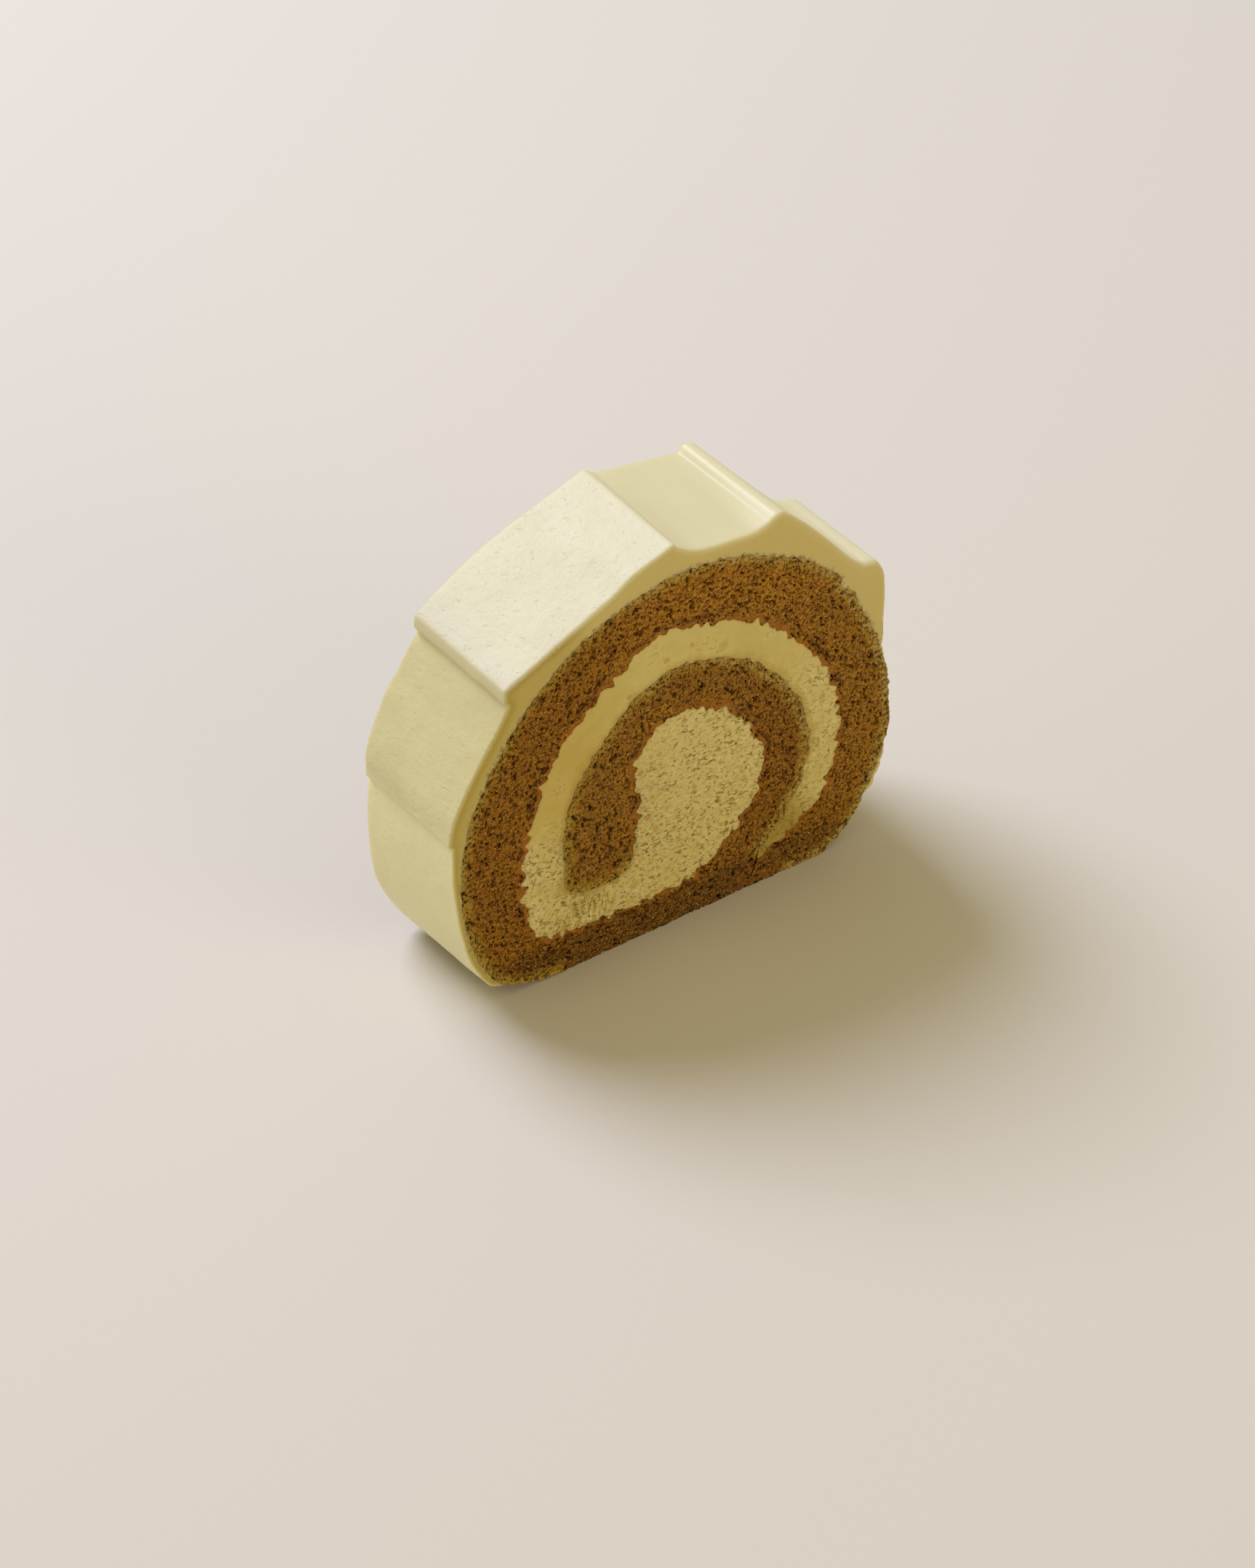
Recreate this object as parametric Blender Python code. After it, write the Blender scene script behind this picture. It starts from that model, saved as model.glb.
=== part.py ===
"""A slice of swiss roll cake, cut across the roll and standing on its flattened base.

X runs across the slice, Y runs through it from the cut face in front to the cut face
behind, and Z is up. The origin is in the middle of the base. A sponge sheet is rolled
one and three quarter turns round a cream filling, and a faceted coat of icing lies
over the outside. The three pieces keep a hair's gap to each other.
"""

import math

import bmesh
import bpy

MM = 0.001

SLICE_THICKNESS = 27.3 * MM
JOINT_GAP = 0.3 * MM
SEAM_SLIT = 0.4 * MM
BASE_HEIGHT = 0.0
CROSS_SECTION_MIDDLE = 0.7 * MM

OUTLINE_STEP = 2.4 * MM
SPLINE_PARTS = 24
DEPTH_ROWS = 5
CRUMB_RELIEF = 0.16 * MM
TAIL_BULGE = 5.5 * MM
TAIL_STEPS = 9
TAIL_SQUARENESS = 0.75
WEDGE_BLUNTING = 2.4 * MM
THIN_COAT = 0.45 * MM
THICK_COAT = 0.9 * MM

# Cross-section points are (across, up) in millimetres from the foot of the slice.
# The baked side of the sponge sheet, from its inner end round to the foot of the seam.
BAKED_FACE = [
    (-9.2, 20.5), (-7.7, 30.0), (-8.6, 39.5), (-5.0, 45.4), (1.0, 47.0), (9.0, 44.8),
    (16.0, 38.5), (19.8, 30.5), (18.6, 22.0), (12.5, 14.2), (5.5, 9.3), (-2.5, 8.0),
    (-20.0, 8.4), (-27.5, 9.5), (-31.4, 13.5), (-33.0, 24.0), (-31.6, 34.5),
    (-28.3, 44.5), (-23.2, 51.8), (-14.5, 59.6), (-5.5, 65.2), (-0.5, 66.0),
    (6.5, 64.2), (18.0, 60.0), (26.0, 52.8), (33.2, 43.7), (36.8, 33.5),
    (36.2, 22.0), (33.4, 14.4), (27.5, 10.0), (19.4, 5.8),
]

# The soft side of the inner turn, from the sheet's inner end down to the seam.
SOFT_FACE = [
    (-24.2, 22.5), (-24.2, 29.5), (-22.2, 38.5), (-16.5, 47.3), (-10.0, 53.4),
    (-3.0, 57.2), (3.5, 57.5), (12.0, 54.8), (19.5, 49.7), (26.3, 41.2), (30.1, 31.5),
    (29.3, 22.0), (25.0, 13.4), (19.4, 7.9),
]

# The base under the inner turn: the seam's top and foot, and where the left side lifts.
SEAM_TOP = (18.9, 6.0)
SEAM_FOOT = (16.6, 0.0)
BASE_LEFT = (-24.0, 0.0)

# The outside of the cake, from the base up the left, over the top and down the right.
OUTSIDE = [
    (-24.0, 0.0), (-31.5, 1.0), (-38.3, 4.0), (-42.9, 11.0), (-45.7, 22.0),
    (-46.1, 33.0), (-43.7, 43.5), (-38.0, 54.3), (-30.0, 64.0), (-21.0, 71.0),
    (-9.0, 76.2), (3.0, 77.6), (14.0, 75.6), (26.0, 70.4), (36.0, 61.2), (42.3, 51.2),
    (47.0, 40.5), (48.7, 29.0), (48.1, 20.5), (44.6, 12.0), (40.3, 5.0), (34.5, 0.5),
    (26.0, 0.0),
]

# The icing's knife strokes: (front point, back point, hollow of the stroke that follows).
# A hollow above zero dips towards the cake and one below zero swells away from it.
ICING_STROKES = [
    ((-38.0, 3.2), (-38.0, 3.0), 0.0),
    ((-40.9, 4.9), (-41.8, 4.1), 0.0),
    ((-44.4, 11.0), (-46.3, 13.0), -0.3),
    ((-47.3, 24.0), (-48.1, 24.5), -0.2),
    ((-48.0, 39.2), (-47.5, 38.2), 0.0),
    ((-48.6, 40.0), (-48.2, 39.0), -0.3),
    ((-47.0, 44.8), (-47.6, 45.6), -0.2),
    ((-35.7, 64.6), (-36.6, 65.4), 0.0),
    ((-36.3, 67.9), (-36.9, 69.0), -0.9),
    ((-0.6, 84.1), (-0.7, 85.3), 0.0),
    ((1.4, 82.7), (1.2, 84.6), 1.4),
    ((20.2, 79.9), (20.0, 81.1), 0.0),
    ((22.4, 81.5), (22.4, 82.0), -0.2),
    ((24.4, 80.4), (24.4, 80.4), 0.3),
    ((35.6, 68.9), (35.6, 69.6), 0.7),
    ((43.4, 61.4), (43.6, 60.6), 0.0),
    ((45.6, 61.5), (46.2, 60.2), -0.3),
    ((46.7, 59.0), (47.2, 58.0), 0.0),
    ((46.8, 48.5), (47.3, 48.0), 0.0),
]
COAT_START_ON_LEFT = -37.0 * MM
STROKE_END_ON_RIGHT = 43.0 * MM
COAT_END_ON_RIGHT = 9.0 * MM


def clear_scene():
    for old in list(bpy.data.objects):
        bpy.data.objects.remove(old, do_unlink=True)


def in_metres(points):
    return [(x * MM, z * MM) for x, z in points]


def distance(a, b):
    return math.hypot(b[0] - a[0], b[1] - a[1])


def smooth_curve(points, step=OUTLINE_STEP):
    """Points at even steps along a smooth curve through the given ones."""
    first = (2 * points[0][0] - points[1][0], 2 * points[0][1] - points[1][1])
    last = (2 * points[-1][0] - points[-2][0], 2 * points[-1][1] - points[-2][1])
    padded = [first] + points + [last]
    fine = []
    for i in range(1, len(padded) - 2):
        before, start, end, after = padded[i - 1:i + 3]
        for part in range(SPLINE_PARTS):
            t = part / SPLINE_PARTS
            fine.append(tuple(spline_value(before[k], start[k], end[k], after[k], t)
                              for k in (0, 1)))
    fine.append(points[-1])
    return even_steps(fine, step)


def spline_value(before, start, end, after, t):
    return 0.5 * (2 * start + (end - before) * t
                  + (2 * before - 5 * start + 4 * end - after) * t * t
                  + (3 * start - before - 3 * end + after) * t * t * t)


def even_steps(line, step):
    """The same line with its points spread evenly, about one step apart."""
    run = [0.0]
    for a, b in zip(line, line[1:]):
        run.append(run[-1] + distance(a, b))
    count = max(2, round(run[-1] / step) + 1)
    spread = []
    k = 0
    for i in range(count):
        target = run[-1] * i / (count - 1)
        while k < len(line) - 2 and run[k + 1] < target:
            k += 1
        share = (target - run[k]) / max(run[k + 1] - run[k], 1e-12)
        spread.append((line[k][0] + (line[k + 1][0] - line[k][0]) * share,
                       line[k][1] + (line[k + 1][1] - line[k][1]) * share))
    return spread


def left_normals(line):
    """Unit normals pointing to the left of the direction of travel."""
    normals = []
    for i in range(len(line)):
        a = line[max(i - 1, 0)]
        b = line[min(i + 1, len(line) - 1)]
        length = max(distance(a, b), 1e-12)
        normals.append((-(b[1] - a[1]) / length, (b[0] - a[0]) / length))
    return normals


def offset_left(line, amounts):
    if not isinstance(amounts, list):
        amounts = [amounts] * len(line)
    return [(p[0] + n[0] * amount, p[1] + n[1] * amount)
            for p, n, amount in zip(line, left_normals(line), amounts)]


def crumb_wave(run, depth):
    """The uneven edge that torn crumb gives the sponge, as a height in metres."""
    return CRUMB_RELIEF * (0.5 * math.sin(run / (1.9 * MM) + 2.0 * depth)
                           + 0.3 * math.sin(run / (0.83 * MM) - 3.0 * depth + 1.0)
                           + 0.2 * math.sin(run / (3.7 * MM) + 5.0 * depth + 2.0))


def roughened(line, depth):
    """The line with crumb relief that fades out towards its two ends."""
    total = len(line) - 1
    heights = []
    for i in range(len(line)):
        fade = min(1.0, i / 4.0, (total - i) / 4.0)
        heights.append(fade * crumb_wave(i * OUTLINE_STEP, depth))
    return offset_left(line, heights)


def above_base(line):
    return [(x, max(z, BASE_HEIGHT)) for x, z in line]


def tail_end(baked_corner, soft_corner):
    """The blunt round end of the sheet inside the roll, from baked to soft corner."""
    middle = ((baked_corner[0] + soft_corner[0]) / 2, (baked_corner[1] + soft_corner[1]) / 2)
    half = ((baked_corner[0] - soft_corner[0]) / 2, (baked_corner[1] - soft_corner[1]) / 2)
    reach = distance(baked_corner, soft_corner) / 2
    out = (half[1] / reach, -half[0] / reach)
    points = []
    for i in range(1, TAIL_STEPS):
        angle = math.pi * i / TAIL_STEPS
        along = math.copysign(abs(math.cos(angle)) ** TAIL_SQUARENESS, math.cos(angle))
        rise = math.sin(angle) ** TAIL_SQUARENESS * TAIL_BULGE
        points.append((middle[0] + half[0] * along + out[0] * rise,
                       middle[1] + half[1] * along + out[1] * rise))
    return points


def sheet_faces(depth):
    """The sheet's faces at a depth from 0 in front to 1 behind."""
    baked = roughened(smooth_curve(in_metres(BAKED_FACE)), depth)
    soft = roughened(smooth_curve(in_metres(SOFT_FACE)), depth + 0.7)
    outside = above_base(roughened(smooth_curve(in_metres(OUTSIDE)), depth + 1.9))
    tail = tail_end(baked[0], soft[0])
    return baked, soft, outside, tail


def sponge_outline(depth):
    """One strip of sponge, round its whole edge."""
    baked, soft, outside, tail = sheet_faces(depth)
    seam_top, seam_foot, base_left = in_metres([SEAM_TOP, SEAM_FOOT, BASE_LEFT])
    outer_end_foot = (seam_foot[0] + SEAM_SLIT, BASE_HEIGHT)
    base_right = even_steps([outside[-1], outer_end_foot], OUTLINE_STEP)[1:]
    base = even_steps([seam_foot, base_left], OUTLINE_STEP)
    outer_turn = outside[::-1]
    return (baked + base_right[::-1] + outer_turn[1:]
            + base[::-1][1:] + [seam_top] + soft[::-1] + tail[::-1])


def filling_outline(depth):
    """The cream between the turns, a gap clear of the sponge on every side."""
    baked, soft, _, tail = sheet_faces(depth)
    skipped = round(WEDGE_BLUNTING / OUTLINE_STEP)
    edge = baked[::-1][skipped:] + tail + soft[:len(soft) - skipped]
    return offset_left(edge, JOINT_GAP)


def stroke_steps(row, following):
    """How many points a stroke takes, the same at every depth."""
    return max(1, round(distance(row[0], following[0]) * MM / (2 * OUTLINE_STEP)))


def knife_stroke(start, end, hollow, steps):
    """Points along one stroke of the knife, without its last one."""
    across = ((end[1] - start[1]) / max(distance(start, end), 1e-12),
              -(end[0] - start[0]) / max(distance(start, end), 1e-12))
    points = []
    for i in range(steps):
        t = i / steps
        dip = hollow * MM * 4 * t * (1 - t)
        points.append((start[0] + (end[0] - start[0]) * t + across[0] * dip,
                       start[1] + (end[1] - start[1]) * t + across[1] * dip))
    return points


def between(front, back, depth):
    return tuple((f + (b - f) * depth) * MM for f, b in zip(front, back))


def coat_limits():
    """Where along the outside the icing starts, where it thins and where it ends."""
    plain = smooth_curve(in_metres(OUTSIDE))
    start = [i for i, p in enumerate(plain) if p[0] < COAT_START_ON_LEFT][0]
    right_side = [i for i in range(len(plain) // 2, len(plain))
                  if COAT_END_ON_RIGHT < plain[i][1] < STROKE_END_ON_RIGHT]
    return start, right_side[0], right_side[-1]


def icing_outline(depth):
    """The coat of icing: knife strokes outside, the cake's own outline inside."""
    outside = sheet_faces(depth)[2]
    start, thin_start, end = coat_limits()
    corners = [between(front, back, depth) for front, back, hollow in ICING_STROKES]
    strokes = []
    for i in range(len(corners) - 1):
        steps = stroke_steps(ICING_STROKES[i], ICING_STROKES[i + 1])
        strokes += knife_stroke(corners[i], corners[i + 1], ICING_STROKES[i][2], steps)
    strokes.append(corners[-1])
    thin = outside[thin_start:end + 1]
    coat = []
    for i in range(len(thin)):
        thickness = THIN_COAT + (THICK_COAT - THIN_COAT) * max(i / len(thin), depth)
        coat.append(JOINT_GAP + thickness)
    inner = offset_left(outside, JOINT_GAP)[start:end + 1]
    return strokes + offset_left(thin, coat) + inner[::-1]


def loft(name, outline, material):
    """A closed solid through the same outline drawn at several depths."""
    mesh = bpy.data.meshes.new(name)
    shape = bmesh.new()
    rings = []
    for row in range(DEPTH_ROWS):
        depth = row / (DEPTH_ROWS - 1)
        y = (depth - 0.5) * SLICE_THICKNESS
        rings.append([shape.verts.new((x - CROSS_SECTION_MIDDLE, y, z))
                      for x, z in outline(depth)])
    for near, far in zip(rings, rings[1:]):
        for i in range(len(near)):
            j = (i + 1) % len(near)
            shape.faces.new((near[i], near[j], far[j], far[i]))
    shape.faces.new(rings[0])
    shape.faces.new(rings[-1])
    shape.normal_update()
    bmesh.ops.triangulate(shape, faces=shape.faces[:])
    bmesh.ops.recalc_face_normals(shape, faces=shape.faces[:])
    shape.to_mesh(mesh)
    shape.free()
    mesh.materials.append(material)
    piece = bpy.data.objects.new(name, mesh)
    bpy.context.scene.collection.objects.link(piece)
    return piece


def food_material(name, colour, roughness):
    material = bpy.data.materials.new(name)
    material.use_nodes = True
    shader = material.node_tree.nodes["Principled BSDF"]
    shader.inputs["Base Color"].default_value = (*colour, 1.0)
    shader.inputs["Roughness"].default_value = roughness
    shader.inputs["Metallic"].default_value = 0.0
    return material


def make_slice():
    clear_scene()
    loft("sponge", sponge_outline, food_material("brown_sponge", (0.36, 0.20, 0.06), 0.9))
    loft("filling", filling_outline, food_material("filling_cream", (0.76, 0.68, 0.42), 0.6))
    loft("icing", icing_outline, food_material("icing_cream", (0.80, 0.74, 0.55), 0.5))


make_slice()
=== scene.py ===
"""A slice of swiss roll cake: torn crumb, whipped filling and a knife-spread coat.

Lengths in this script are in millimetres. Points on the cut face are (across, up),
measured as the part's source measures them; make_mesh turns them into metres.
"""
import math

import bmesh
import bpy
import numpy as np
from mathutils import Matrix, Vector
from mathutils.geometry import delaunay_2d_cdt
from mathutils.kdtree import KDTree


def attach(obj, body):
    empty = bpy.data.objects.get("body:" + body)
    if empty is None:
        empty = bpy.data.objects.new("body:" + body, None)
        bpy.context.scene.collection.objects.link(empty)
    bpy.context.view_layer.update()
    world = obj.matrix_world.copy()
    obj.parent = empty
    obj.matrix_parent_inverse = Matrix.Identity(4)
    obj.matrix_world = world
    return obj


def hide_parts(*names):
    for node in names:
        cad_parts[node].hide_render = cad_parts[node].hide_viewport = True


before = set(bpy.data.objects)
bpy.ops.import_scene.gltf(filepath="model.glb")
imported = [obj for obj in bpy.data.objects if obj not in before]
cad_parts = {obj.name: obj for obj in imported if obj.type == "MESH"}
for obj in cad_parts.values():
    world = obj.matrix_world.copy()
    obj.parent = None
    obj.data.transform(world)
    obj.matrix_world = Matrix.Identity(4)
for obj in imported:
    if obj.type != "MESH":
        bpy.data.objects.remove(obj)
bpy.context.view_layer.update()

METRES = 0.001
SLICE_THICKNESS = 27.3
CROSS_SECTION_MIDDLE = 0.7

# How finely outlines and the triangles between them are laid out.
SPLINE_PARTS = 24
FRONT_STEP = 0.32
BACK_SKIP = 2
SAME_PLACE = 0.005
ROW_SPACING = 0.866
POINT_JITTER = 0.12
CLEAR_OF_LINES = 0.62
HAIR = 1e-6
NOT_ON_WALL = -1.0

# The cake's outlines, the same points as the solids have.
BAKED_FACE = [
    (-9.2, 20.5), (-7.7, 30.0), (-8.6, 39.5), (-5.0, 45.4), (1.0, 47.0), (9.0, 44.8),
    (16.0, 38.5), (19.8, 30.5), (18.6, 22.0), (12.5, 14.2), (5.5, 9.3), (-2.5, 8.0),
    (-20.0, 8.4), (-27.5, 9.5), (-31.4, 13.5), (-33.0, 24.0), (-31.6, 34.5),
    (-28.3, 44.5), (-23.2, 51.8), (-14.5, 59.6), (-5.5, 65.2), (-0.5, 66.0),
    (6.5, 64.2), (18.0, 60.0), (26.0, 52.8), (33.2, 43.7), (36.8, 33.5),
    (36.2, 22.0), (33.4, 14.4), (27.5, 10.0), (19.4, 5.8),
]
SOFT_FACE = [
    (-24.2, 22.5), (-24.2, 29.5), (-22.2, 38.5), (-16.5, 47.3), (-10.0, 53.4),
    (-3.0, 57.2), (3.5, 57.5), (12.0, 54.8), (19.5, 49.7), (26.3, 41.2), (30.1, 31.5),
    (29.3, 22.0), (25.0, 13.4), (19.4, 7.9),
]
OUTSIDE = [
    (-24.0, 0.0), (-31.5, 1.0), (-38.3, 4.0), (-42.9, 11.0), (-45.7, 22.0),
    (-46.1, 33.0), (-43.7, 43.5), (-38.0, 54.3), (-30.0, 64.0), (-21.0, 71.0),
    (-9.0, 76.0), (3.0, 77.7), (14.0, 75.9), (26.0, 70.8), (31.5, 66.6), (36.2, 62.7),
    (36.8, 59.8), (39.4, 57.6), (42.4, 51.2), (47.0, 40.5), (48.7, 29.0), (48.1, 20.5),
    (44.6, 12.0), (40.3, 5.0), (34.5, 0.5), (26.0, 0.0),
]
SEAM_TOP = (18.9, 6.0)
SEAM_FOOT = (16.6, 0.0)
SEAM_SLIT = 0.03
BASE_LEFT = (-24.0, 0.0)
TAIL_BULGE = 5.5
TAIL_SQUARENESS = 0.75

# The coat's knife strokes, each a curve from one corner of the coat to the next: its
# points on the front cut, its points on the back cut, then how white, how grainy and how
# wet it is, and how far its edge rounds over at the cut.
KNIFE_STROKES = [
    ([(-38.0, 3.2), (-40.9, 4.9), (-44.4, 11.0), (-46.3, 18.0), (-47.4, 25.0),
      (-47.9, 32.0), (-47.9, 39.0)],
     [(-38.0, 3.0), (-41.8, 4.1), (-46.3, 13.0), (-47.6, 19.0), (-48.1, 25.0),
       (-48.0, 32.0), (-47.3, 38.0)], 0.32, 0.75, 0.0, 0.25),
    ([(-47.9, 39.0), (-48.6, 39.5)],
     [(-47.3, 38.0), (-48.2, 38.7)], 0.30, 0.40, 0.0, 0.30),
    ([(-48.6, 39.5), (-47.4, 44.2), (-44.9, 49.4), (-41.9, 54.3), (-38.4, 59.5),
      (-35.5, 64.4)],
     [(-48.2, 38.7), (-47.9, 44.6), (-44.2, 53.4), (-40.9, 58.3), (-38.6, 61.9),
      (-36.3, 65.2)], 0.0, 0.85, 0.0, 0.55),
    ([(-35.5, 64.4), (-36.3, 65.3)],
     [(-36.3, 65.2), (-37.2, 66.5)], 0.15, 0.30, 0.0, 0.45),
    ([(-36.3, 65.3), (-36.2, 67.9)],
     [(-37.2, 66.5), (-36.9, 69.0)], 0.0, 0.45, 0.0, 0.45),
    ([(-36.2, 67.9), (-24.0, 73.6), (-14.5, 77.9), (-8.6, 81.3), (-0.6, 84.1)],
     [(-36.9, 69.0), (-24.8, 76.6), (-13.6, 80.9), (-8.0, 82.9), (-0.7, 85.3)],
     0.58, 1.00, 0.25, 0.75),
    ([(-0.6, 84.1), (0.6, 82.8)],
     [(-0.7, 85.3), (1.3, 83.9)], 0.40, 0.30, 0.2, 0.80),
    ([(0.6, 82.8), (3.9, 80.9), (8.0, 80.0), (13.0, 79.6), (17.0, 79.3), (20.4, 80.2)],
     [(1.3, 83.9), (4.6, 83.4), (8.4, 82.8), (13.0, 82.2), (16.5, 81.6), (19.6, 80.9)],
     0.33, 0.12, 0.6, 1.00),
    ([(20.4, 80.2), (21.7, 81.0)],
     [(19.6, 80.9), (20.3, 81.9), (21.0, 82.5)], 0.30, 0.10, 0.45, 1.00),
    ([(21.7, 81.0), (22.6, 81.7), (23.6, 81.2)],
     [(21.0, 82.5), (21.9, 82.7), (22.8, 82.1)], 0.38, 0.10, 1.0, 0.90),
    ([(23.6, 81.2), (26.4, 78.8), (30.6, 74.7), (35.0, 69.8), (39.2, 64.9), (42.4, 62.0)],
     [(22.8, 82.1), (26.6, 77.4), (31.6, 71.8), (36.3, 66.6), (39.8, 63.1), (43.0, 61.9)],
     0.34, 0.12, 0.5, 1.40),
    ([(42.4, 62.0), (44.2, 61.9), (45.8, 61.5), (46.7, 59.4)],
     [(43.0, 61.9), (44.9, 61.8), (46.5, 60.6), (47.2, 57.6)], 0.45, 0.12, 0.8, 2.20),
    ([(46.6, 59.4), (46.9, 54.0), (46.8, 48.5)],
     [(47.2, 57.6), (47.5, 53.0), (47.3, 48.0)], 0.20, 0.70, 0.0, 0.50),
]
LEDGE = 2
SLAB = 4
COAT_START_ON_LEFT = -37.0
STROKE_END_ON_RIGHT = 43.0
COAT_END_ON_RIGHT = 9.0
THIN_COAT = 0.45
THICK_COAT = 0.88

# How far each edge of the sponge is torn, and the flakes of its baked skin.
BAKED_TEAR = 0.42
SOFT_TEAR = 0.38
TAIL_TEAR = 0.25
OUTSIDE_TEAR = 0.36
LEFT_FLANK_TEAR = 0.14
FLAKE_HEIGHT = 0.85
FLAKE_SPACING = 4.4
FLAKE_LEAN = 0.72
FLAKE_SPRING = 0.28


class Unevenness:
    """Smooth hills and dips, the same every time for the same seed."""

    SIZE = 256
    SWING = 1.6

    def __init__(self, seed):
        lean = np.random.default_rng(seed).uniform(0.0, 2 * np.pi, (self.SIZE, self.SIZE))
        self.lean_u = np.cos(lean)
        self.lean_v = np.sin(lean)

    def hills(self, u, v, size):
        u = np.asarray(u) / size
        v = np.asarray(v) / size
        column = np.floor(u).astype(int)
        row = np.floor(v).astype(int)
        fu = u - column
        fv = v - row
        blend_u = fu * fu * fu * (fu * (fu * 6 - 15) + 10)
        blend_v = fv * fv * fv * (fv * (fv * 6 - 15) + 10)
        total = 0.0
        for i in (0, 1):
            for j in (0, 1):
                at = (column + i) % self.SIZE, (row + j) % self.SIZE
                height = self.lean_u[at] * (fu - i) + self.lean_v[at] * (fv - j)
                share = (blend_u if i else 1 - blend_u) * (blend_v if j else 1 - blend_v)
                total = total + height * share
        return self.SWING * total

    def layers(self, u, v, *sizes_and_heights):
        """Hills of several sizes together, each with its own height."""
        total = 0.0
        for turn, (size, height) in enumerate(sizes_and_heights):
            total = total + height * self.hills(u + 37.3 * turn, v - 19.1 * turn, size)
        return total


torn_edge = Unevenness(11)
knife_drag = Unevenness(12)
crumb_hills = Unevenness(13)
cream_hills = Unevenness(14)
coat_sway = Unevenness(15)


def run_along(line):
    """How far along the line each of its points is."""
    return np.concatenate([[0.0], np.cumsum(np.hypot(*np.diff(line, axis=0).T))])


def even_steps(line, step):
    run = run_along(line)
    count = max(2, int(round(run[-1] / step)) + 1)
    target = np.linspace(0.0, run[-1], count)
    return np.stack([np.interp(target, run, line[:, k]) for k in (0, 1)], 1)


def smooth_curve(points, step=FRONT_STEP):
    """Points at even steps along a smooth curve through the given ones."""
    known = np.array(points, dtype=float)
    padded = np.vstack([2 * known[0] - known[1], known, 2 * known[-1] - known[-2]])
    t = (np.arange(SPLINE_PARTS) / SPLINE_PARTS)[:, None]
    fine = []
    for i in range(1, len(padded) - 2):
        before, start, end, after = padded[i - 1:i + 3]
        fine.append(0.5 * (2 * start + (end - before) * t
                           + (2 * before - 5 * start + 4 * end - after) * t ** 2
                           + (3 * start - before - 3 * end + after) * t ** 3))
    return even_steps(np.vstack(fine + [known[-1:]]), step)


def left_normals(line):
    ahead = np.vstack([line[1:], line[-1:]])
    behind = np.vstack([line[:1], line[:-1]])
    travel = ahead - behind
    length = np.maximum(np.hypot(*travel.T), 1e-9)
    return np.stack([-travel[:, 1] / length, travel[:, 0] / length], 1)


def gentle(low, high, value):
    """A smooth rise from 0 at low to 1 at high."""
    t = np.clip((value - low) / (high - low), 0.0, 1.0)
    return t * t * (3 - 2 * t)


# Stretches of edge. Each holds its points in front and behind, and how it is finished.

FINISHES = ("ragged", "flaked", "run", "grain", "rim", "white", "shine", "open", "sway")


def stretch(front, back=None, **finish):
    """One stretch of a piece's edge, with its finish at every point."""
    made = {"front": front, "back": front if back is None else back,
            "lean": left_normals(front)}
    for name in FINISHES:
        value = finish.get(name, 0.0)
        made[name] = np.broadcast_to(np.asarray(value, dtype=float), (len(front),)).copy()
    made["run"] = made["run"] + run_along(front)
    return made


def cut(part, first, last):
    return {name: values[first:last] for name, values in part.items()}


def reverse(part):
    return {name: values[::-1] for name, values in part.items()}


def join(*parts):
    return {name: np.concatenate([part[name] for part in parts]) for name in parts[0]}


def faded(count, reach=6):
    """One along the middle of a stretch and nought at its two ends."""
    place = np.arange(count)
    return np.clip(np.minimum(place, count - 1 - place) / reach, 0.0, 1.0)


def tail_end(baked_corner, soft_corner, step=FRONT_STEP):
    """The blunt round end of the sheet inside the roll, from baked to soft corner."""
    middle = (baked_corner + soft_corner) / 2
    half = (baked_corner - soft_corner) / 2
    out = np.array([half[1], -half[0]]) / np.hypot(*half)
    turn = np.linspace(0.0, np.pi, 200)[:, None]
    along = np.sign(np.cos(turn)) * np.abs(np.cos(turn)) ** TAIL_SQUARENESS
    rise = np.sin(turn) ** TAIL_SQUARENESS * TAIL_BULGE
    return even_steps(middle + half * along + out * rise, step)


def straight(start, end, step=FRONT_STEP):
    return even_steps(np.array([start, end], dtype=float), step)


baked_line = smooth_curve(BAKED_FACE)
soft_line = smooth_curve(SOFT_FACE)
outside_line = smooth_curve(OUTSIDE)
outside_line[:, 1] = np.maximum(outside_line[:, 1], 0.0)
tail_line = tail_end(baked_line[0], soft_line[0])

# The left flank's coat is thin, so the crumb under it is held a little straighter.
left_flank = (outside_line[:, 0] < -30.0) & (outside_line[:, 1] < 40.0)
on_right_side = (outside_line[:, 0] > 30.0) & (outside_line[:, 1] < 44.0)
outside_tear = np.where(left_flank, LEFT_FLANK_TEAR, OUTSIDE_TEAR) * faded(len(outside_line))

# Each stretch counts its run from its own thousand, so that no two are torn alike.
baked = stretch(baked_line, ragged=BAKED_TEAR * faded(len(baked_line)),
                flaked=FLAKE_HEIGHT * faded(len(baked_line), 12), run=0.0)
soft = stretch(soft_line, ragged=SOFT_TEAR * faded(len(soft_line)), run=1000.0)
tail = stretch(tail_line, ragged=TAIL_TEAR * faded(len(tail_line)), run=3000.0)
outside = stretch(outside_line, ragged=outside_tear, run=2000.0, open=on_right_side)


def flakes(run, depth):
    """The baked skin breaks in flakes: each leans into the cream, then springs back."""
    place = run / FLAKE_SPACING + torn_edge.hills(run, depth * 0.7, 8.0)
    tooth = place - np.floor(place)
    size = 1.0 + 1.7 * torn_edge.hills(run + 50.0, depth * 0.5, 9.0)
    lean = np.minimum(tooth / FLAKE_LEAN, (1 - tooth) / FLAKE_SPRING)
    return np.maximum(size, 0.1) * (0.5 - gentle(0.0, 1.0, lean))


def tear(ragged, flaked, run, depth):
    """How far a torn edge strays to its left."""
    crumbled = torn_edge.layers(run, depth, (5.5, 0.8), (2.3, 0.8), (1.05, 0.75), (0.6, 0.35))
    return ragged * crumbled + flaked * flakes(run, depth)


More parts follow.
